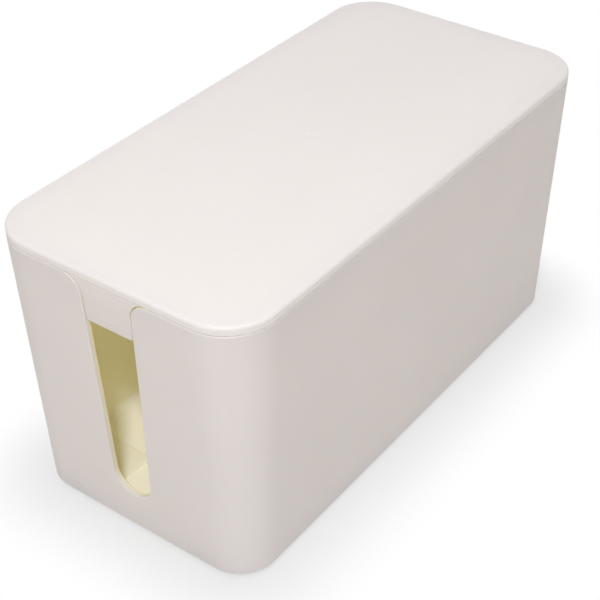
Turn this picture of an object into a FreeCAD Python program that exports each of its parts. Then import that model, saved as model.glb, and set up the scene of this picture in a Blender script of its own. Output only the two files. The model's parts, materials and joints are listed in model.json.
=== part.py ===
"""Cable management box: a drafted, round-cornered tub with a U slot in each end,
a lift-off lid whose two tongues close the tops of the slots, and four round feet.

Millimetres. +X runs along the length, +Y across, +Z up.
The origin is under the middle of the box, on the plane that the feet stand on.
"""
import FreeCAD, Part
import math
import os

Vector = FreeCAD.Vector
UP = Vector(0, 0, 1)
LENGTHWAYS = Vector(1, 0, 0)
ACROSS = Vector(0, 1, 0)

os.makedirs("parts", exist_ok=True)

# Body, seen from outside
box_length = 236.2           # along X, at the rim
box_width = 116.0            # along Y, at the rim
body_height = 115.7          # underside of the base to the rim
corner_radius = 20.3         # upright corners, at the rim
wall_draft = 2.15            # degrees that every wall and corner leans out
base_edge_radius = 1.0       # round between the walls and the underside
rim_edge_bevel = 0.4         # outer edge of the rim, the shoulders and the slots

# Body, seen from inside
wall = 2.5                   # end and side walls
floor_thickness = 2.5
inner_floor_radius = 3.0     # round between the walls and the floor

# Cable slot, one in each end wall
slot_bottom_radius = 9.1     # round foot of the U
slot_bottom_height = 17.3    # underside of the base to the lowest point of the slot
slot_draft = 1.7             # degrees that each side of the slot leans out
shoulder_radius = 7.6        # round from the side of the slot to the rim

# Lid
lid_band_height = 3.8        # rim to the top of the lid
lid_plate = 2.1              # thickness of the lid's top
lid_edge_radius = 1.3        # round along the top edge
lid_seat_bevel = 0.3         # outer edge where the lid meets the rim and its own tongues
lip_gap = 0.4                # between the lip and the inside of the body
lip_wall = 1.5               # thickness of the lip that keeps the lid in place
lip_depth = 5.0              # how far the lip reaches below the rim
lip_root_bevel = 1.0         # inside, between the lip and the lid's top

# Tongue, one at each end of the lid
tongue_reach = 17.7          # rim to the straight lower edge
tongue_wall = 2.0
tongue_recess = 0.2          # outer face of the tongue behind the outside of the body
tongue_gap = 0.8             # between the tongue and each side of the slot
tongue_corner_radius = 1.0   # lower corners
tongue_edge_bevel = 0.3      # outer edges

# Mark that moulding leaves in the middle of the lid
gate_dish_radius = 2.4
gate_dish_depth = 0.24
gate_nub_radius = 0.7
gate_nub_height = 0.18

# Feet, and the pockets and raised seats that hold them
foot_radius = 7.5
foot_drop = 2.5              # how far a foot stands out below the base
foot_bevel = 0.8             # lower edge of a foot
foot_end_margin = 1.8        # end edge of the base to a foot
foot_side_margin = 13.8      # side edge of the base to a foot
pocket_depth = 1.0
pocket_side_gap = 0.2        # round a foot in its pocket
seat_height = 1.0            # raised pad on the floor, over each pocket
seat_reach = 20.0            # middle of the foot to the pad's edge nearest the middle of the box
seat_half_width = 13.0       # middle of the foot to the pad's two other edges
seat_corner_radius = 2.0
seat_edge_bevel = 0.4

# One overrun for every cut, and how an edge is matched to a face
overrun = 1.0
match = 0.001
samples_per_edge = 5

# Heights that follow from those sizes
base_z = foot_drop
rim_z = base_z + body_height
top_z = rim_z + lid_band_height
floor_z = base_z + floor_thickness
lid_under_z = top_z - lid_plate
tongue_low_z = rim_z - tongue_reach
lip_low_z = rim_z - lip_depth
slot_low_z = base_z + slot_bottom_height
root_z = rim_z + lid_band_height / 2
lip_inset = wall + lip_gap

# The slot's straight sides: how far they lean, and the way square out from the one at +Y
slot_lean = math.radians(slot_draft)
slot_outward = (math.cos(slot_lean), -math.sin(slot_lean))

ENDS = (-1, 1)
CORNERS = {
    "foot_front_left": (-1, -1),
    "foot_front_right": (1, -1),
    "foot_back_right": (1, 1),
    "foot_back_left": (-1, 1),
}


def lean(height, degrees):
    """How far a face that leans by so many degrees moves over a height."""
    return height * math.tan(math.radians(degrees))


def outline(z, inset):
    """Half length, half width and corner radius at height z, moved in from the outside."""
    below = rim_z - z
    inward = inset + lean(below, wall_draft)
    return box_length / 2 - inward, box_width / 2 - inward, corner_radius - inward


def rounded_rectangle(half_length, half_width, radius, z):
    """Closed wire of four straight runs and four corner arcs, at height z."""
    reach = radius * math.cos(math.pi / 4)
    arcs = []
    for side_x, side_y in ((1, 1), (-1, 1), (-1, -1), (1, -1)):
        centre = Vector(side_x * (half_length - radius), side_y * (half_width - radius), z)
        on_end = centre + Vector(side_x * radius, 0, 0)
        on_side = centre + Vector(0, side_y * radius, 0)
        middle = centre + Vector(side_x * reach, side_y * reach, 0)
        ends = (on_end, on_side) if side_x == side_y else (on_side, on_end)
        arcs.append((ends[0], middle, ends[1]))
    edges = []
    for index, (start, middle, finish) in enumerate(arcs):
        edges.append(Part.Arc(start, middle, finish).toShape())
        following = arcs[(index + 1) % len(arcs)][0]
        edges.append(Part.LineSegment(finish, following).toShape())
    return Part.Wire(edges)


def leaning_slab(low, high, spread):
    """Slab with two leaning faces: a trapezium between two heights, drawn across and extruded."""
    (low_reach, low_z), (high_reach, high_z) = low, high
    corners = [(-low_reach, low_z), (low_reach, low_z), (high_reach, high_z), (-high_reach, high_z)]
    points = [Vector(x, -spread, z) for x, z in corners]
    return Part.Face(Part.makePolygon(points + points[:1])).extrude(ACROSS * spread * 2)


def drafted_block(low_z, high_z, inset):
    """Solid block with the leaning walls of the box, between two heights.

    The walls are flat, and each upright corner is a quarter of a cone.
    """
    low_length, low_width, low_radius = outline(low_z, inset)
    high_length, high_width, high_radius = outline(high_z, inset)
    middle_x = high_length - high_radius
    middle_y = high_width - high_radius
    block = leaning_slab((low_length, low_z), (high_length, high_z), middle_y)
    sideways = leaning_slab((low_width, low_z), (high_width, high_z), middle_x)
    sideways.rotate(Vector(0, 0, 0), UP, 90)
    corners = []
    for side_x, side_y in CORNERS.values():
        centre = Vector(side_x * middle_x, side_y * middle_y, low_z)
        corners.append(Part.makeCone(low_radius, high_radius, high_z - low_z, centre))
    return block.fuse([sideways] + corners).removeSplitter()


def upright_block(low_z, high_z, inset):
    """Solid block with upright walls on the outline of the rim."""
    face = Part.Face(rounded_rectangle(*outline(rim_z, inset), low_z))
    return face.extrude(UP * (high_z - low_z))


def level_edges(shape, z):
    """Edges that lie level at height z."""
    boxes = [(edge, edge.BoundBox) for edge in shape.Edges]
    return [edge for edge, box in boxes if abs(box.ZMin - z) < match and abs(box.ZMax - z) < match]


def slot_side():
    """Lower and upper end of the slot's straight side at +Y, and its shoulder's centre, as (y, z)."""
    round_z = slot_low_z + slot_bottom_radius
    low = (slot_bottom_radius * slot_outward[0], round_z + slot_bottom_radius * slot_outward[1])
    shoulder_z = rim_z - shoulder_radius
    high_z = shoulder_z - shoulder_radius * slot_outward[1]
    high = (low[0] + (high_z - low[1]) * math.tan(slot_lean), high_z)
    shoulder = (high[0] + shoulder_radius * slot_outward[0], shoulder_z)
    return low, high, shoulder


def prism_at_end(points_and_arcs, side):
    """Prism through one end wall whose outline is drawn looking along X.

    Each entry is a point (y, z), or a pair of points for an arc: one on the way, one at its end.
    """
    plane_x = side * box_length / 4
    depth = side * box_length / 4 + side * overrun
    place = lambda point: Vector(plane_x, point[0], point[1])
    edges = []
    last = points_and_arcs[0]
    for entry in points_and_arcs[1:]:
        if isinstance(entry[0], tuple):
            edges.append(Part.Arc(place(last), place(entry[0]), place(entry[1])).toShape())
            last = entry[1]
        else:
            edges.append(Part.LineSegment(place(last), place(entry)).toShape())
            last = entry
    return Part.Face(Part.Wire(edges)).extrude(LENGTHWAYS * depth)


def mirrored(point):
    """The same point on the other side of the middle plane."""
    return (-point[0], point[1])


def slot_cutter(side):
    """The U slot with its shouldered mouth."""
    low, high, shoulder = slot_side()
    half_way = (math.pi / 2 + slot_lean) / 2
    waist = (
        shoulder[0] - shoulder_radius * math.cos(half_way),
        shoulder[1] + shoulder_radius * math.sin(half_way),
    )
    mouth = (shoulder[0], rim_z)
    above = (shoulder[0], rim_z + overrun)
    return prism_at_end([
        above,
        mouth,
        (waist, high),
        low,
        ((0, slot_low_z), mirrored(low)),
        mirrored(high),
        (mirrored(waist), mirrored(mouth)),
        mirrored(above),
        above,
    ], side)


def tongue_prism(side, low_z):
    """The slot's own outline, smaller by the gap at the sides and shoulders, cut straight below."""
    shoulder = slot_side()[2]
    flare_radius = shoulder_radius + tongue_gap
    side_top = (
        shoulder[0] - flare_radius * slot_outward[0],
        shoulder[1] - flare_radius * slot_outward[1],
    )
    flare_reach = math.sqrt(flare_radius ** 2 - shoulder_radius ** 2)
    half_way = (math.atan2(shoulder_radius, flare_reach) + slot_lean) / 2
    waist = (
        shoulder[0] - flare_radius * math.cos(half_way),
        shoulder[1] + flare_radius * math.sin(half_way),
    )
    flare = (shoulder[0] - flare_reach, rim_z)
    above = (flare[0], root_z)
    foot = (side_top[0] - (side_top[1] - low_z) * math.tan(slot_lean), low_z)
    return prism_at_end([
        above,
        flare,
        (waist, side_top),
        foot,
        mirrored(foot),
        mirrored(side_top),
        (mirrored(waist), mirrored(flare)),
        mirrored(above),
        above,
    ], side)


def outside_by(point, inset):
    """How far a point lies outside the leaning walls, measured level."""
    half_length, half_width, radius = outline(point.z, inset)
    past_x = abs(point.x) - (half_length - radius)
    past_y = abs(point.y) - (half_width - radius)
    if past_x > 0 and past_y > 0:
        return math.hypot(past_x, past_y) - radius
    return max(past_x, past_y) - radius


def lies_on_wall(edge, inset):
    """Whether an edge runs along the leaning walls."""
    points = edge.discretize(samples_per_edge)
    return all(abs(outside_by(point, inset)) < match for point in points)


def foot_centre(side_x, side_y):
    """Middle of a foot, placed from the edges of the base."""
    half_length, half_width, radius = outline(base_z, 0)
    x = half_length - foot_end_margin - foot_radius
    y = half_width - foot_side_margin - foot_radius
    return Vector(side_x * x, side_y * y, 0)


def upright_cylinder(radius, centre, low_z, high_z):
    """Round solid over a point, between two heights."""
    return Part.makeCylinder(radius, high_z - low_z, Vector(centre.x, centre.y, low_z), UP)


def foot_seat(side_x, side_y):
    """Raised pad on the floor that keeps its thickness over the pocket for a foot."""
    centre = foot_centre(side_x, side_y)
    near_x = abs(centre.x) - seat_reach
    low_z = base_z + floor_thickness / 2
    length = box_length / 2 - near_x
    corner = Vector(near_x if side_x > 0 else -near_x - length, centre.y - seat_half_width, low_z)
    height = floor_z + seat_height - low_z
    pad = Part.makeBox(length, seat_half_width * 2, height, corner)
    upright = [
        edge for edge in pad.Edges
        if abs(edge.BoundBox.ZLength - height) < match and abs(abs(edge.CenterOfMass.x) - near_x) < match
    ]
    pad = pad.makeFillet(seat_corner_radius, upright)
    return pad.makeChamfer(seat_edge_bevel, level_edges(pad, floor_z + seat_height))


def box_body():
    """The tub: leaning walls, slots with round shoulders, pockets for the feet."""
    outside = drafted_block(base_z, rim_z, 0)
    outside = outside.makeFillet(base_edge_radius, level_edges(outside, base_z))
    cavity = drafted_block(floor_z, rim_z + overrun, wall)
    cavity = cavity.makeFillet(inner_floor_radius, level_edges(cavity, floor_z))
    tub = outside.cut(cavity)
    for side_x, side_y in CORNERS.values():
        tub = tub.fuse(foot_seat(side_x, side_y).common(outside))
    for side in ENDS:
        tub = tub.cut(slot_cutter(side))
    shoulder_y = slot_side()[2][0]
    rounded = []
    for edge in tub.Edges:
        box = edge.BoundBox
        at_rim = box.ZMin > rim_z - match
        at_slot = max(abs(box.YMin), abs(box.YMax)) < shoulder_y + match
        if (at_rim or at_slot) and lies_on_wall(edge, 0) and box.ZMin > base_z + base_edge_radius:
            rounded.append(edge)
    tub = tub.makeChamfer(rim_edge_bevel, rounded)
    for side_x, side_y in CORNERS.values():
        centre = foot_centre(side_x, side_y)
        pocket_radius = foot_radius + pocket_side_gap
        tub = tub.cut(upright_cylinder(pocket_radius, centre, base_z - overrun, base_z + pocket_depth))
    return tub


def tongue(side):
    """Plate that hangs in the mouth of a slot, with a thicker root where it joins the lip."""
    outer = drafted_block(tongue_low_z - overrun, top_z, tongue_recess)
    behind_plate = drafted_block(tongue_low_z - overrun, top_z, tongue_recess + tongue_wall)
    behind_root = drafted_block(tongue_low_z - overrun, top_z, lip_inset + lip_wall / 2)
    prism = tongue_prism(side, tongue_low_z)
    lower_corners = [
        edge for edge in level_edges(prism, tongue_low_z)
        if edge.BoundBox.XLength > edge.BoundBox.YLength
    ]
    prism = prism.makeFillet(tongue_corner_radius, lower_corners)
    plate = prism.common(outer).cut(behind_plate)
    outer_edges = [edge for edge in plate.Edges if lies_on_wall(edge, tongue_recess)]
    below_rim = [edge for edge in outer_edges if edge.BoundBox.ZMin < root_z - match]
    plate = plate.makeChamfer(tongue_edge_bevel, below_rim)
    under_band = drafted_block(tongue_low_z - overrun, rim_z, tongue_recess)
    plate = plate.common(under_band.makeChamfer(lid_seat_bevel, level_edges(under_band, rim_z)))
    root_outer = drafted_block(lip_low_z, top_z, tongue_recess + tongue_wall / 2)
    root = tongue_prism(side, lip_low_z).common(root_outer).cut(behind_root)
    return plate.fuse(root)


def gate_mark(plate):
    """Shallow dish with a small nub in the middle of the lid."""
    dish_sphere = (gate_dish_radius ** 2 + gate_dish_depth ** 2) / gate_dish_depth / 2
    low_z = top_z - gate_dish_depth
    dish = Part.makeSphere(dish_sphere, Vector(0, 0, low_z + dish_sphere))
    nub_low = Vector(0, 0, low_z - gate_nub_height)
    nub = Part.makeCone(gate_nub_radius, gate_nub_radius / 2, gate_nub_height * 2, nub_low)
    return plate.cut(dish).fuse(nub)


def lid():
    """The lift-off cover: a rounded plate, a lip inside the rim and two tongues."""
    cap = upright_block(rim_z, top_z, 0)
    cap = cap.makeFillet(lid_edge_radius, level_edges(cap, top_z))
    cap = cap.makeChamfer(lid_seat_bevel, level_edges(cap, rim_z))
    lip = drafted_block(lip_low_z, root_z, lip_inset)
    hollow = drafted_block(lip_low_z - overrun, lid_under_z, lip_inset + lip_wall)
    hollow = hollow.makeChamfer(lip_root_bevel, level_edges(hollow, lid_under_z))
    cover = cap.fuse(lip).cut(hollow)
    for side in ENDS:
        cover = cover.fuse(tongue(side))
    return gate_mark(cover)


def foot(side_x, side_y):
    """Round rubber foot, sunk in its pocket."""
    puck = upright_cylinder(foot_radius, foot_centre(side_x, side_y), 0, base_z + pocket_depth)
    return puck.makeChamfer(foot_bevel, level_edges(puck, 0))


parts = {"box_body": box_body(), "lid": lid()}
for name, (side_x, side_y) in CORNERS.items():
    parts[name] = foot(side_x, side_y)

for name, shape in parts.items():
    if not shape.isValid() or len(shape.Solids) != 1:
        raise RuntimeError(name + " is not one valid solid")
    solid = shape.Solids[0]
    solid.exportStep("parts/" + name + ".step")
    print(name, round(solid.Volume), "cubic mm")
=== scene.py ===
"""Looks of the cable management box: a moulded tub and lid in satin off-white plastic, on four
rubber feet. All lengths are in metres."""
import json
import math

import bmesh
import bpy
from mathutils import Matrix, Vector

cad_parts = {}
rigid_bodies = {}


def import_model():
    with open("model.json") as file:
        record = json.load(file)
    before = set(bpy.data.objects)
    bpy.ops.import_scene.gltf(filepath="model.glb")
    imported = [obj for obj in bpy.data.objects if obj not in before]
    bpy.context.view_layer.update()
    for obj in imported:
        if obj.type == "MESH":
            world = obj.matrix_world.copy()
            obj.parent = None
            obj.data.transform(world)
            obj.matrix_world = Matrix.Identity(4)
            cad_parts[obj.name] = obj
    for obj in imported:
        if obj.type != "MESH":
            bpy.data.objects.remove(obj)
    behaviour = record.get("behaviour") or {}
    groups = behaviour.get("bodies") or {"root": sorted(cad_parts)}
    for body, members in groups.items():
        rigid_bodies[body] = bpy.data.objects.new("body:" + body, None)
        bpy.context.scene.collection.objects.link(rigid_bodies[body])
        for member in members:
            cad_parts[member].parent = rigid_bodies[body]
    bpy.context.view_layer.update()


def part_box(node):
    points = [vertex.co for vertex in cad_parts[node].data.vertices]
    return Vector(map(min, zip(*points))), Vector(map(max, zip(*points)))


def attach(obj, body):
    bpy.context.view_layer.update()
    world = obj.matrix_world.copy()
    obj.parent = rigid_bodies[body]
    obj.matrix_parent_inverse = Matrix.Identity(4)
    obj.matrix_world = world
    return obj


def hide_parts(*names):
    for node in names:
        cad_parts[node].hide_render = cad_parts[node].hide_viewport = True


for leftover in list(bpy.data.objects):
    bpy.data.objects.remove(leftover)

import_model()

# Sizes that the frame gives
foot_nodes = ("foot_front_left", "foot_front_right", "foot_back_left", "foot_back_right")
lid_low, lid_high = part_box("lid")
body_low, body_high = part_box("box_body")
foot_low, foot_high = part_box(foot_nodes[0])
half_length = lid_high.x
half_width = lid_high.y
top_z = lid_high.z
tongue_low_z = lid_low.z
rim_z = body_high.z
base_z = body_low.z
foot_radius = (foot_high.x - foot_low.x) / 2
foot_x = abs(foot_high.x + foot_low.x) / 2
foot_y = abs(foot_high.y + foot_low.y) / 2
foot_top_z = foot_high.z

# Body
corner_radius = 0.0203
wall_lean = math.radians(2.15)
wall = 0.0025
floor_z = base_z + 0.0025
base_edge_radius = 0.0010
inner_floor_radius = 0.0030
moulded_edge = 0.0004

# Cable slot
slot_bottom_radius = 0.0091
slot_low_z = base_z + 0.0173
slot_lean = math.radians(1.7)
shoulder_radius = 0.0076

# Lid and its tongues
lid_edge_radius = 0.0013
lid_seat_round = 0.0003
lid_seat_inset = 0.00018
seam = 0.0002
lid_under_z = top_z - 0.0021
lip_inset = wall + 0.0004
lip_wall = 0.0015
lip_low_z = rim_z - 0.0050
lip_edge_round = 0.0004
lip_root_radius = 0.0010
tongue_wall = 0.0020
tongue_recess = 0.0002
tongue_gap = 0.00065
tongue_corner_radius = 0.0010
tongue_edge = 0.00035
tongue_root_wall = 0.0022
tongue_root_margin = 0.0003
tongue_top_z = (rim_z + top_z) / 2

# How the loose lid lies off the middle: its lower edge towards +X and -Y, its tongues towards -Y
lid_seat_shift = Vector((0.00012, -0.00015, 0))
tongue_shift = -0.00015

# Mark of the moulding gate, in the middle of the lid
gate_dish_radius = 0.0024
gate_dish_depth = 0.00030
gate_nub_radius = 0.0007
gate_nub_height = 0.00026
gate_nub_top_radius = gate_nub_radius / 2
gate_nub_rim_height = gate_nub_height / 4

# Seats and pockets of the feet
seat_height = 0.0010
seat_reach = 0.0200
seat_half_width = 0.0130
seat_corner_radius = 0.0020
seat_edge = 0.0009
pocket_gap = 0.0002
foot_edge = 0.0008

# How finely curves are divided
corner_steps = 24
fillet_steps = 8
slot_steps = 28
shoulder_steps = 12
round_steps = 64
edge_steps = 3

# Directions of arcs in a plane, in degrees
RIGHT, UP, LEFT, DOWN = 0, 90, 180, -90
QUARTER = 90
TURN = 360

# How edges are told apart, rounded and shaded
sharp_turn = math.radians(30)
shading_turn = math.radians(35)
face_weight = 80
round_profile = 0.5
merge_distance = 0.000001
touch_distance = 0.00001

ENDS = (-1, 1)
CORNERS = ((-1, -1), (1, -1), (1, 1), (-1, 1))
overrun = 0.0010
arc_x = half_length - corner_radius
arc_y = half_width - corner_radius


def corner_at(z, inset):
    """Radius of the box's upright corners at height z, moved in from the outside."""
    return corner_radius - inset - (rim_z - z) * math.tan(wall_lean)


def wall_x(z, inset):
    """Half length at height z, moved in from the outside."""
    return arc_x + corner_at(z, inset)


def arc_points(centre, radius, start, finish, steps):
    """Points of an arc in a plane, between two directions."""
    points = []
    for step in range(steps + 1):
        angle = math.radians(start + (finish - start) * step / steps)
        points.append((centre[0] + radius * math.cos(angle), centre[1] + radius * math.sin(angle)))
    return points


def foot_of_wall(z, inset, radius):
    """Round between a level face at height z and the leaning wall, as (corner radius, height)."""
    centre_radius = corner_at(z, inset) - radius * (1 - math.sin(wall_lean)) / math.cos(wall_lean)
    up_the_wall = RIGHT - math.degrees(wall_lean)
    return arc_points((centre_radius, z + radius), radius, DOWN, up_the_wall, fillet_steps)


def ring(radius, z, centre_x=arc_x, centre_y=arc_y, steps=corner_steps):
    """Closed run of points round a rounded rectangle at height z."""
    points = []
    for quarter, (side_x, side_y) in enumerate(((1, 1), (-1, 1), (-1, -1), (1, -1))):
        centre = (side_x * centre_x, side_y * centre_y)
        for x, y in arc_points(centre, radius, quarter * QUARTER, (quarter + 1) * QUARTER, steps):
            points.append(Vector((x, y, z)))
    return points


def circle(radius, z, x=0, y=0):
    """Closed run of points round a circle at height z."""
    return [Vector((u, v, z)) for u, v in arc_points((x, y), radius, RIGHT, TURN, round_steps)[:-1]]


def new_object(name, mesh):
    """Object that holds a mesh, put in the scene."""
    piece = bpy.data.objects.new(name, mesh)
    bpy.context.scene.collection.objects.link(piece)
    return piece


def closed_object(name, shell):
    """Object made of a finished bmesh, with its faces pointing outwards."""
    bmesh.ops.recalc_face_normals(shell, faces=shell.faces)
    mesh = bpy.data.meshes.new(name)
    shell.to_mesh(mesh)
    shell.free()
    return new_object(name, mesh)


def loft(name, rings):
    """Closed mesh through rings of equal count, with the first and the last ring closed by a face."""
    shell = bmesh.new()
    levels = [[shell.verts.new(point) for point in points] for points in rings]
    for low, high in zip(levels, levels[1:]):
        for index in range(len(low)):
            after = (index + 1) % len(low)
            shell.faces.new((low[index], low[after], high[after], high[index]))
    shell.faces.new(list(reversed(levels[0])))
    shell.faces.new(levels[-1])
    return closed_object(name, shell)


def combine(piece, other, operation):
    """Cut the other mesh from the piece, join it or keep what both share. The other one is used up."""
    change = piece.modifiers.new(operation.lower(), "BOOLEAN")
    change.operation = operation
    change.solver = "EXACT"
    change.object = other
    shaped = piece.evaluated_get(bpy.context.evaluated_depsgraph_get())
    mesh = bpy.data.meshes.new_from_object(shaped)
    piece.modifiers.clear()
    old = piece.data
    piece.data = mesh
    mesh.name = piece.name
    bpy.data.meshes.remove(old)
    bpy.data.objects.remove(other)
    return piece


def is_sharp(edge):
    """Whether an edge turns outwards by more than a smooth curve would."""
    return len(edge.link_faces) == 2 and edge.calc_face_angle_signed() > sharp_turn


def round_edges(piece, width, chosen):
    """Round the edges that the test picks."""
    shell = bmesh.new()
    shell.from_mesh(piece.data)
    bmesh.ops.remove_doubles(shell, verts=shell.verts, dist=merge_distance)
    shell.normal_update()
    bmesh.ops.bevel(
        shell, geom=[edge for edge in shell.edges if chosen(edge)], offset=width, offset_type="OFFSET",
        segments=edge_steps, profile=round_profile, affect="EDGES", clamp_overlap=True,
    )
    shell.to_mesh(piece.data)
    shell.free()
    return piece


def smooth(piece):
    """Smooth shading that keeps flat faces flat and true corners sharp."""
    piece.data.shade_smooth()
    piece.data.set_sharp_from_angle(angle=shading_turn)
    weighted = piece.modifiers.new("even_shading", "WEIGHTED_NORMAL")
    weighted.keep_sharp = True
    weighted.weight = face_weight
    return piece


def slot_side():
    """Lower and upper end of the slot's straight side at +Y, and its shoulder's centre, as (y, z)."""
    outward = (math.cos(slot_lean), -math.sin(slot_lean))
    round_z = slot_low_z + slot_bottom_radius
    low = (slot_bottom_radius * outward[0], round_z + slot_bottom_radius * outward[1])
    shoulder_z = rim_z - shoulder_radius
    high_z = shoulder_z - shoulder_radius * outward[1]
    high = (low[0] + (high_z - low[1]) * math.tan(slot_lean), high_z)
    shoulder = (high[0] + shoulder_radius * outward[0], shoulder_z)
    return low, high, shoulder


def mirrored(points):
    """The same (y, z) points on the other side of the middle, in reverse order."""
    return [(-y, z) for y, z in reversed(points)]


def slot_outline():
    """The slot and its shouldered mouth, looking along X, as (y, z) points."""
    shoulder = slot_side()[2]
    lean = math.degrees(slot_lean)
    side = [(shoulder[0], rim_z + overrun)]
    side += arc_points(shoulder, shoulder_radius, UP, LEFT - lean, shoulder_steps)
    middle = (0, slot_low_z + slot_bottom_radius)
    bottom = arc_points(middle, slot_bottom_radius, -lean, lean - LEFT, slot_steps)
    return side + bottom + mirrored(side)


def tongue_outline(low_z, high_z, margin):
    """The slot's outline drawn in by the tongue's gap and a margin, between two heights."""
    shoulder = slot_side()[2]
    flare_radius = shoulder_radius + tongue_gap + margin
    at_rim = math.degrees(math.asin(shoulder_radius / flare_radius))
    at_low = math.degrees(max(slot_lean, math.asin(max(0, low_z - shoulder[1]) / flare_radius)))
    flare = arc_points(shoulder, flare_radius, LEFT - at_rim, LEFT - at_low, shoulder_steps)
    side = [(flare[0][0], high_z)] + flare
    if low_z < flare[-1][1]:
        side_low_y = flare[-1][0] - (flare[-1][1] - low_z) * math.tan(slot_lean)
        centre = (side_low_y - tongue_corner_radius, low_z + tongue_corner_radius)
        side += arc_points(centre, tongue_corner_radius, RIGHT, DOWN, fillet_steps)
    return [(y + tongue_shift, z) for y, z in side + mirrored(side)]


def end_plate(name, outline, side, outer_inset, inner_inset):
    """Flat piece in an end wall's own lean, between two distances from the outside."""
    shell = bmesh.new()
    layers = []
    for inset in (outer_inset, inner_inset):
        layers.append([shell.verts.new((side * wall_x(z, inset), y, z)) for y, z in outline])
    outer, inner = layers
    for index in range(len(outline)):
        after = (index + 1) % len(outline)
        shell.faces.new((outer[index], outer[after], inner[after], inner[index]))
    shell.faces.new(outer)
    shell.faces.new(list(reversed(inner)))
    return closed_object(name, shell)


def foot_places():
    """Middle of each foot, as (x, y)."""
    return [(side_x * foot_x, side_y * foot_y) for side_x in ENDS for side_y in ENDS]


def box_shell():
    """The tub with its base and floor rounds, before anything is cut from it."""
    outside = foot_of_wall(base_z, 0, base_edge_radius)
    inside = foot_of_wall(floor_z, wall, inner_floor_radius)
    rim = [(corner_at(rim_z, 0), rim_z), (corner_at(rim_z, wall), rim_z)]
    return loft("box_shell", [ring(radius, z) for radius, z in outside + rim + list(reversed(inside))])


def seat_pad(x, y):
    """Raised pad on the floor over a foot's pocket, reaching into the end wall."""
    near = abs(x) - seat_reach
    centre = Vector((math.copysign(near + half_length, x) / 2, y, 0))
    reach_x = (half_length - near) / 2 - seat_corner_radius
    reach_y = seat_half_width - seat_corner_radius
    top = floor_z + seat_height
    edge_centre = (seat_corner_radius - seat_edge, top - seat_edge)
    rounds = arc_points(edge_centre, seat_edge, RIGHT, UP, fillet_steps)
    rings = []
    for radius, z in [(seat_corner_radius, floor_z - wall / 2)] + rounds:
        rings.append([point + centre for point in ring(radius, z, reach_x, reach_y, fillet_steps)])
    return loft("seat_pad", rings)


def inner_block():
    """Everything up to the middle of the walls, which keeps the seats from showing outside."""
    return loft("inner_block", [ring(corner_at(z, wall / 2), z) for z in (base_z + overrun, rim_z)])


def make_tub():
    """The tub: shell, slots, rounded edges, seats inside and pockets underneath."""
    tub = box_shell()
    for side in ENDS:
        slot = end_plate("slot_cutter", slot_outline(), side, -overrun, wall + overrun)
        combine(tub, slot, "DIFFERENCE")
    round_edges(tub, moulded_edge, is_sharp)
    for x, y in foot_places():
        combine(tub, combine(seat_pad(x, y), inner_block(), "INTERSECT"), "UNION")
    for x, y in foot_places():
        pocket = [circle(foot_radius + pocket_gap, z, x, y) for z in (base_z - overrun, foot_top_z)]
        combine(tub, loft("pocket_cutter", pocket), "DIFFERENCE")
    tub.name = "tub"
    return smooth(tub)


def lid_shell():
    """The lid's plate and lip as one closed form."""
    top_centre = (corner_radius - lid_edge_radius, top_z - lid_edge_radius)
    top = arc_points(top_centre, lid_edge_radius, UP, RIGHT, fillet_steps)
    seat_centre = (corner_radius - lid_seat_inset - lid_seat_round, rim_z + seam + lid_seat_round)
    seat = arc_points(seat_centre, lid_seat_round, RIGHT, DOWN, edge_steps)
    lip_top = [(corner_at(rim_z, lip_inset), rim_z)]
    lip_outer = corner_at(lip_low_z, lip_inset) - lip_edge_round
    lip_inner = corner_at(lip_low_z, lip_inset + lip_wall) + lip_edge_round
    low = lip_low_z + lip_edge_round
    lip_low = arc_points((lip_outer, low), lip_edge_round, RIGHT, DOWN, edge_steps)
    lip_low += arc_points((lip_inner, low), lip_edge_round, DOWN, -LEFT, edge_steps)
    under = corner_at(lid_under_z, lip_inset + lip_wall) - lip_root_radius
    root = arc_points((under, lid_under_z - lip_root_radius), lip_root_radius, RIGHT, UP, edge_steps)
    rings = [ring(radius, z) for radius, z in top]
    rings += [[point + lid_seat_shift for point in ring(radius, z)] for radius, z in seat]
    rings += [ring(radius, z) for radius, z in lip_top + lip_low + root]
    return loft("lid_shell", rings)


def under_band():
    """Everything below the lid's band, with a rounded upper edge that the tongues share with the rim."""
    low_z = tongue_low_z - overrun
    low = [(corner_at(low_z, tongue_recess), low_z)]
    edge_centre = (corner_at(rim_z, tongue_recess) - moulded_edge, rim_z - moulded_edge)
    edge = arc_points(edge_centre, moulded_edge, RIGHT, UP, edge_steps)
    return loft("under_band", [ring(radius, z) for radius, z in low + edge])


def tongue(side):
    """Flared plate that closes the top of a slot, with its outer edges rounded."""
    outline = tongue_outline(tongue_low_z, tongue_top_z, 0)
    plate = end_plate("tongue", outline, side, tongue_recess, tongue_recess + tongue_wall)

    def is_outer(vert):
        return abs(abs(vert.co.x) - wall_x(vert.co.z, tongue_recess)) < touch_distance

    def is_shown(edge):
        hangs_out = any(vert.co.z < rim_z + overrun for vert in edge.verts)
        return is_sharp(edge) and hangs_out and all(is_outer(vert) for vert in edge.verts)

    round_edges(plate, tongue_edge, is_shown)
    return combine(plate, under_band(), "INTERSECT")


def tongue_root(side):
    """Thicker part of a tongue, where it joins the lip."""
    margin = tongue_root_margin
    outline = tongue_outline(lip_low_z + margin, tongue_top_z - margin, margin)
    start = tongue_recess + tongue_wall / 2
    return end_plate("tongue_root", outline, side, start, start + tongue_root_wall)


def gate_cutter():
    """Round form whose underside is the gate's dish with its nub."""
    low = top_z - gate_dish_depth
    profile = [(gate_nub_top_radius, low + gate_nub_height), (gate_nub_radius, low + gate_nub_rim_height)]
    for step in range(1, fillet_steps + 1):
        share = step / fillet_steps
        radius = gate_nub_radius + (gate_dish_radius - gate_nub_radius) * share
        profile.append((radius, low + gate_dish_depth * share ** 2))
    profile.append((gate_dish_radius, top_z + overrun))
    return loft("gate_cutter", [circle(radius, z) for radius, z in profile])


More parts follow.
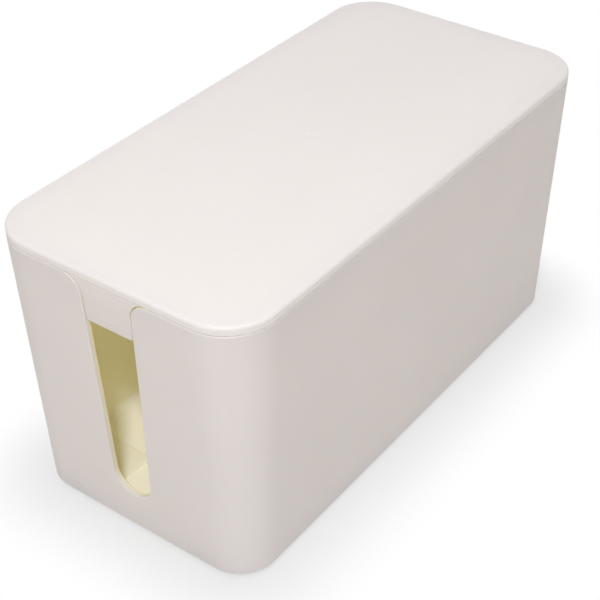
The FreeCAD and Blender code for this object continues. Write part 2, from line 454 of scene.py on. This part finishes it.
def make_cover():
    """The lid: plate and lip, two tongues with their roots, and the gate mark."""
    cover = lid_shell()
    for side in ENDS:
        combine(cover, tongue(side), "UNION")
        combine(cover, tongue_root(side), "UNION")
    combine(cover, gate_cutter(), "DIFFERENCE")
    cover.name = "cover"
    return smooth(cover)


def add_node(tree, kind, inputs=None, **settings):
    """New node, whose inputs are plain values or other nodes' outputs."""
    node = tree.nodes.new(kind)
    for name, value in settings.items():
        setattr(node, name, value)
    for socket, value in (inputs or {}).items():
        if isinstance(value, bpy.types.NodeSocket):
            tree.links.new(value, node.inputs[socket])
        else:
            node.inputs[socket].default_value = value
    return node


def maths(tree, operation, *values):
    """Result of a sum on plain values or other nodes' outputs."""
    return add_node(tree, "ShaderNodeMath", dict(enumerate(values)), operation=operation).outputs[0]


def feet_tree(rubber):
    """Geometry nodes for rounded pucks at the corners of a level rectangle."""
    tree = bpy.data.node_groups.new("rubber_feet", "GeometryNodeTree")
    tree.interface.new_socket("Feet", in_out="OUTPUT", socket_type="NodeSocketGeometry")
    for name in ("Radius", "Height", "Edge", "Spacing X", "Spacing Y"):
        tree.interface.new_socket(name, in_out="INPUT", socket_type="NodeSocketFloat")
    for name in ("Turn steps", "Edge steps"):
        tree.interface.new_socket(name, in_out="INPUT", socket_type="NodeSocketInt")
    given = tree.nodes.new("NodeGroupInput").outputs
    levels = maths(tree, "ADD", given["Edge steps"], 1)
    puck = add_node(tree, "GeometryNodeMeshCylinder", {
        "Vertices": given["Turn steps"], "Side Segments": levels, "Radius": 1, "Depth": 1,
    })
    place = add_node(tree, "GeometryNodeInputPosition")
    unit = add_node(tree, "ShaderNodeSeparateXYZ", {0: place.outputs[0]}).outputs
    level = maths(tree, "MULTIPLY", maths(tree, "ADD", unit["Z"], 0.5), levels)
    share = maths(tree, "MINIMUM", maths(tree, "DIVIDE", level, given["Edge steps"]), 1)
    angle = maths(tree, "MULTIPLY", share, math.pi / 2)
    bulge = maths(tree, "SUBTRACT", maths(tree, "SINE", angle), 1)
    bulge = maths(tree, "MULTIPLY", given["Edge"], bulge)
    radius = maths(tree, "ADD", given["Radius"], bulge)
    rise = maths(tree, "SUBTRACT", 1, maths(tree, "COSINE", angle))
    rise = maths(tree, "MULTIPLY", given["Edge"], rise)
    upright = maths(tree, "MAXIMUM", maths(tree, "SUBTRACT", level, given["Edge steps"]), 0)
    straight = maths(tree, "MULTIPLY", upright, maths(tree, "SUBTRACT", given["Height"], given["Edge"]))
    shaped = add_node(tree, "ShaderNodeCombineXYZ", {
        "X": maths(tree, "MULTIPLY", unit["X"], radius),
        "Y": maths(tree, "MULTIPLY", unit["Y"], radius),
        "Z": maths(tree, "ADD", rise, straight),
    })
    rounded = add_node(tree, "GeometryNodeSetPosition", {
        "Geometry": puck.outputs["Mesh"], "Position": shaped.outputs[0],
    })
    corners = add_node(tree, "GeometryNodeMeshGrid", {
        "Size X": given["Spacing X"], "Size Y": given["Spacing Y"], "Vertices X": 2, "Vertices Y": 2,
    })
    placed = add_node(tree, "GeometryNodeInstanceOnPoints", {
        "Points": corners.outputs["Mesh"], "Instance": rounded.outputs["Geometry"],
    })
    real = add_node(tree, "GeometryNodeRealizeInstances", {"Geometry": placed.outputs["Instances"]})
    finished = add_node(tree, "GeometryNodeSetMaterial", {
        "Geometry": real.outputs["Geometry"], "Material": rubber,
    })
    add_node(tree, "NodeGroupOutput", {"Feet": finished.outputs["Geometry"]})
    return tree


def make_feet(rubber):
    """The four feet as one plain mesh, laid out by geometry nodes."""
    feet = new_object("feet", bpy.data.meshes.new("feet"))
    layout = feet.modifiers.new("layout", "NODES")
    layout.node_group = feet_tree(rubber)
    sizes = {
        "Radius": foot_radius, "Height": foot_top_z, "Edge": foot_edge,
        "Spacing X": 2 * foot_x, "Spacing Y": 2 * foot_y,
        "Turn steps": round_steps, "Edge steps": fillet_steps,
    }
    for socket in layout.node_group.interface.items_tree:
        if socket.in_out == "INPUT":
            layout[socket.identifier] = sizes[socket.name]
    shaped = feet.evaluated_get(bpy.context.evaluated_depsgraph_get())
    mesh = bpy.data.meshes.new_from_object(shaped)
    feet.modifiers.clear()
    feet.data = mesh
    return smooth(feet)


def noise(tree, place, size, detail):
    """Soft random pattern with marks of about one size."""
    marks = {"Vector": place, "Scale": 1 / size, "Detail": detail}
    return add_node(tree, "ShaderNodeTexNoise", marks).outputs["Fac"]


def between(tree, value, start, finish, low=0, high=1):
    """Value carried smoothly from one range to another, and held at its ends."""
    mapped = add_node(tree, "ShaderNodeMapRange", {
        "Value": value, "From Min": start, "From Max": finish, "To Min": low, "To Max": high,
    }, interpolation_type="SMOOTHSTEP")
    return mapped.outputs["Result"]


def blend_colours(tree, share, first, second):
    """Mix of two colours."""
    mix = add_node(tree, "ShaderNodeMix", data_type="RGBA")
    for socket, value in (("Factor", share), ("A", first), ("B", second)):
        inlet = next(s for s in mix.inputs if s.name == socket and s.enabled)
        if isinstance(value, bpy.types.NodeSocket):
            tree.links.new(value, inlet)
        else:
            inlet.default_value = value
    return next(s for s in mix.outputs if s.enabled)


def blend_shaders(tree, share, first, second):
    """Node that mixes the shaders of two nodes."""
    return add_node(tree, "ShaderNodeMixShader", {0: share, 1: first.outputs[0], 2: second.outputs[0]})


def depth_in_wall(tree, place):
    """How far a point lies inside the outer faces of the leaning walls and of the lid's band."""
    axes = add_node(tree, "ShaderNodeSeparateXYZ", {0: place}).outputs
    past_x = maths(tree, "SUBTRACT", maths(tree, "ABSOLUTE", axes["X"]), arc_x)
    past_y = maths(tree, "SUBTRACT", maths(tree, "ABSOLUTE", axes["Y"]), arc_y)
    corner_x = maths(tree, "MAXIMUM", past_x, 0)
    corner_y = maths(tree, "MAXIMUM", past_y, 0)
    square_x = maths(tree, "MULTIPLY", corner_x, corner_x)
    square_y = maths(tree, "MULTIPLY", corner_y, corner_y)
    past_arc = maths(tree, "SQRT", maths(tree, "ADD", square_x, square_y))
    short_of_arc = maths(tree, "MINIMUM", maths(tree, "MAXIMUM", past_x, past_y), 0)
    beyond = maths(tree, "ADD", past_arc, short_of_arc)
    below_rim = maths(tree, "MAXIMUM", maths(tree, "SUBTRACT", rim_z, axes["Z"]), 0)
    narrowing = maths(tree, "MULTIPLY", below_rim, math.tan(wall_lean))
    radius = maths(tree, "SUBTRACT", corner_radius, narrowing)
    return maths(tree, "SUBTRACT", radius, beyond)


# Finish of the plastic
grain_size = 0.00038
grain_depth = 0.000014
grain_detail = 2
peel_size = 0.0018
peel_depth = 0.000065
peel_detail = 1
flow_size = 0.045
flow_detail = 2
flow_spread = (0.3, 0.7)
skin_depth = 0.0004
glow_depth = 0.0021
satin = (0.29, 0.35)
gloss = 0.32
plastic_white = (0.838, 0.804, 0.770, 1)
plastic_shade = (0.824, 0.791, 0.757, 1)
# Painted light: a brighter, creamier copy of the plastic for the inner faces, standing in for light
# through the walls and bounced about inside
inside_painted_light = (0.985, 0.955, 0.90, 1)
outer_light_through = (1.0, 0.97, 0.90, 1)
# Partly painted: light really comes through the walls, but only the inner faces tint it a painted yellow,
# standing in for the olive shade of light bounced inside
inner_painted_light_through = (1.0, 0.92, 0.42, 1)
outer_share_through = 0.31
inner_share_through = 0.40
floor_share_through = 0.02
tub_turns_inside = (base_z + wall / 4, base_z + wall * 3 / 4)
cover_turns_inside = (top_z - 0.0005, lid_under_z + 0.0002)


def moulded_plastic(name, closed_z, open_z):
    """Satin off-white plastic with a fine moulded grain, which lets some light through its walls. Inside,
    a painted creamier, brighter colour and a painted yellow tint on the light through the walls stand in
    for the light that comes through the walls and bounces about in the box. The inside begins on the way
    from the closed height to the open one."""
    material = bpy.data.materials.new(name)
    material.use_nodes = True
    tree = material.node_tree
    shader = tree.nodes["Principled BSDF"]
    place = add_node(tree, "ShaderNodeTexCoord").outputs["Object"]
    height = add_node(tree, "ShaderNodeSeparateXYZ", {0: place}).outputs["Z"]
    flow = noise(tree, place, flow_size, flow_detail)
    inwards = between(tree, depth_in_wall(tree, place), skin_depth, glow_depth)
    inside = maths(tree, "MULTIPLY", inwards, between(tree, height, closed_z, open_z))
    outside_colour = blend_colours(tree, between(tree, flow, *flow_spread), plastic_white, plastic_shade)
    # Painted light: the inner faces take the brighter, creamier colour
    colour = blend_colours(tree, inside, outside_colour, inside_painted_light)
    tree.links.new(colour, shader.inputs["Base Color"])
    shader.inputs["Specular IOR Level"].default_value = gloss
    tree.links.new(between(tree, flow, *flow_spread, *satin), shader.inputs["Roughness"])
    peel = add_node(tree, "ShaderNodeBump", {
        "Height": noise(tree, place, peel_size, peel_detail), "Distance": peel_depth,
    }).outputs["Normal"]
    grain = add_node(tree, "ShaderNodeBump", {
        "Height": noise(tree, place, grain_size, grain_detail), "Distance": grain_depth, "Normal": peel,
    }).outputs["Normal"]
    tree.links.new(grain, shader.inputs["Normal"])
    # Light through the walls, with a painted yellow tint on the inner faces
    tint = blend_colours(tree, inside, outer_light_through, inner_painted_light_through)
    through = add_node(tree, "ShaderNodeBsdfTranslucent", {"Color": tint, "Normal": grain})
    wall_foot = (floor_z, floor_z + inner_floor_radius)
    inner_share = between(tree, height, *wall_foot, floor_share_through, inner_share_through)
    share = between(tree, inside, 0, 1, outer_share_through, inner_share)
    lit_wall = blend_shaders(tree, share, shader, through)
    tree.links.new(lit_wall.outputs[0], tree.nodes["Material Output"].inputs["Surface"])
    return material


# Finish of the rubber
rubber_light = (0.66, 0.64, 0.61, 1)
rubber_worn = (0.60, 0.575, 0.54, 1)
rubber_grain_size = 0.0006
rubber_grain_depth = 0.00003
rubber_grain_detail = 3
rubber_patch_detail = 2
rubber_patch_spread = (0.3, 0.7)
rubber_worn_spread = (0.35, 0.7)
rubber_matt = (0.62, 0.78)


def foot_rubber():
    """Matt light rubber with a slight grain."""
    material = bpy.data.materials.new("foot_rubber")
    material.use_nodes = True
    tree = material.node_tree
    shader = tree.nodes["Principled BSDF"]
    place = add_node(tree, "ShaderNodeTexCoord").outputs["Object"]
    grain = noise(tree, place, rubber_grain_size, rubber_grain_detail)
    patches = noise(tree, place, foot_radius, rubber_patch_detail)
    wear = between(tree, patches, *rubber_worn_spread)
    tree.links.new(blend_colours(tree, wear, rubber_light, rubber_worn), shader.inputs["Base Color"])
    tree.links.new(between(tree, patches, *rubber_patch_spread, *rubber_matt), shader.inputs["Roughness"])
    bump = add_node(tree, "ShaderNodeBump", {"Height": grain, "Distance": rubber_grain_depth})
    tree.links.new(bump.outputs["Normal"], shader.inputs["Normal"])
    return material


tub = make_tub()
tub.data.materials.append(moulded_plastic("tub_plastic", *tub_turns_inside))
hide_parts("box_body")
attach(tub, "box")

cover = make_cover()
cover.data.materials.append(moulded_plastic("cover_plastic", *cover_turns_inside))
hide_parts("lid")
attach(cover, "lid")

feet = make_feet(foot_rubber())
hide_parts(*foot_nodes)
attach(feet, "box")

# Studio
floor_reach = 3.0
paper_white = (0.88, 0.88, 0.88, 1)
full_white = (1, 1, 1, 1)
floor_shown = (0.300, 0.299, 0.281, 1)
floor_glow = 0.545
shadow_reach = 0.038
ambient_colour = (0.894, 0.803, 1.0, 1)
ambient_strength = 0.355
key_colour = (0.955, 0.971, 1.0)
key_energy = 4.32
key_size = 0.08
key_place = Vector((-0.50, -0.31, 0.75))
overhead_colour = (0.832, 0.904, 1.0)
overhead_energy = 8.75
overhead_size = 1.0
overhead_place = Vector((0, -0.02, 1.36))
lamp_target = Vector((0, 0, top_z / 2))


def seen_white(tree):
    """One for the rays that show the background: straight ones, mirrored ones and ones through glass."""
    path = add_node(tree, "ShaderNodeLightPath").outputs
    straight = maths(tree, "MAXIMUM", path["Is Camera Ray"], path["Is Glossy Ray"])
    return maths(tree, "MAXIMUM", straight, path["Is Transmission Ray"])


def floor_paper():
    """White floor that bounces light as paper does and shows as white with the object's shadow.
    Seen from below it is clear, so that the underside shows."""
    material = bpy.data.materials.new("floor_paper")
    material.use_nodes = True
    tree = material.node_tree
    tree.nodes.clear()
    plain = add_node(tree, "ShaderNodeBsdfDiffuse", {"Color": paper_white})
    shadow = add_node(tree, "ShaderNodeBsdfDiffuse", {"Color": floor_shown})
    glow = add_node(tree, "ShaderNodeEmission", {"Strength": floor_glow})
    near = add_node(tree, "ShaderNodeAddShader", {0: shadow.outputs[0], 1: glow.outputs[0]})
    place = add_node(tree, "ShaderNodeTexCoord").outputs["Object"]
    far = between(tree, depth_in_wall(tree, place), 0, -shadow_reach)
    white = add_node(tree, "ShaderNodeEmission", {"Strength": 1})
    shown = blend_shaders(tree, far, near, white)
    paper = blend_shaders(tree, seen_white(tree), plain, shown)
    from_below = add_node(tree, "ShaderNodeNewGeometry").outputs["Backfacing"]
    clear = add_node(tree, "ShaderNodeBsdfTransparent")
    surface = blend_shaders(tree, from_below, paper, clear)
    add_node(tree, "ShaderNodeOutputMaterial", {"Surface": surface.outputs[0]})
    return material


def make_floor():
    """Level square floor."""
    mesh = bpy.data.meshes.new("floor")
    corners = [(side_x * floor_reach, side_y * floor_reach, 0) for side_x, side_y in CORNERS]
    mesh.from_pydata(corners, [], [tuple(range(len(corners)))])
    mesh.materials.append(floor_paper())
    return new_object("floor", mesh)


def light_world():
    """White surroundings that light the object softly."""
    world = bpy.data.worlds.new("studio")
    bpy.context.scene.world = world
    world.use_nodes = True
    tree = world.node_tree
    tree.nodes.clear()
    ambient = add_node(tree, "ShaderNodeBackground", {
        "Color": ambient_colour, "Strength": ambient_strength,
    })
    white = add_node(tree, "ShaderNodeBackground", {"Color": full_white, "Strength": 1})
    sky = blend_shaders(tree, seen_white(tree), ambient, white)
    add_node(tree, "ShaderNodeOutputWorld", {"Surface": sky.outputs[0]})


def add_softbox(name, place, size, energy, colour):
    """Square lamp, turned to the middle of the object."""
    lamp = bpy.data.lights.new(name, "AREA")
    lamp.energy = energy
    lamp.size = size
    lamp.color = colour
    holder = bpy.data.objects.new(name, lamp)
    bpy.context.scene.collection.objects.link(holder)
    holder.location = place
    holder.rotation_euler = (lamp_target - place).to_track_quat("-Z", "Y").to_euler()


make_floor()
light_world()
add_softbox("key", key_place, key_size, key_energy, key_colour)
add_softbox("overhead", overhead_place, overhead_size, overhead_energy, overhead_colour)

# Camera: where the photograph was taken from
picture_pixels = 600
focal_pixels = 1406.4
optical_centre = (336.1, 291.2)
sensor_width = 36
azimuth = math.radians(-54.565)
elevation = math.radians(36.524)
roll = math.radians(0.090)
camera_distance = 0.57693
camera_target = Vector((-0.00349, -0.01461, 0.05500))


def make_camera():
    """Camera turned by its azimuth, elevation and roll about the point that it looks at."""
    lens = bpy.data.cameras.new("camera")
    lens.sensor_width = sensor_width
    lens.lens = focal_pixels * sensor_width / picture_pixels
    lens.shift_x = (picture_pixels / 2 - optical_centre[0]) / picture_pixels
    lens.shift_y = (optical_centre[1] - picture_pixels / 2) / picture_pixels
    camera = bpy.data.objects.new("camera", lens)
    bpy.context.scene.collection.objects.link(camera)
    level = math.cos(elevation)
    back = Vector((math.sin(azimuth) * level, -math.cos(azimuth) * level, math.sin(elevation)))
    right = Vector((math.cos(azimuth), math.sin(azimuth), 0))
    up = back.cross(right)
    axes = Matrix((right, up, back)).transposed().to_4x4()
    place = Matrix.Translation(camera_target + back * camera_distance)
    camera.matrix_world = place @ axes @ Matrix.Rotation(roll, 4, "Z")
    bpy.context.scene.camera = camera


make_camera()
bpy.context.scene.view_settings.view_transform = "Standard"
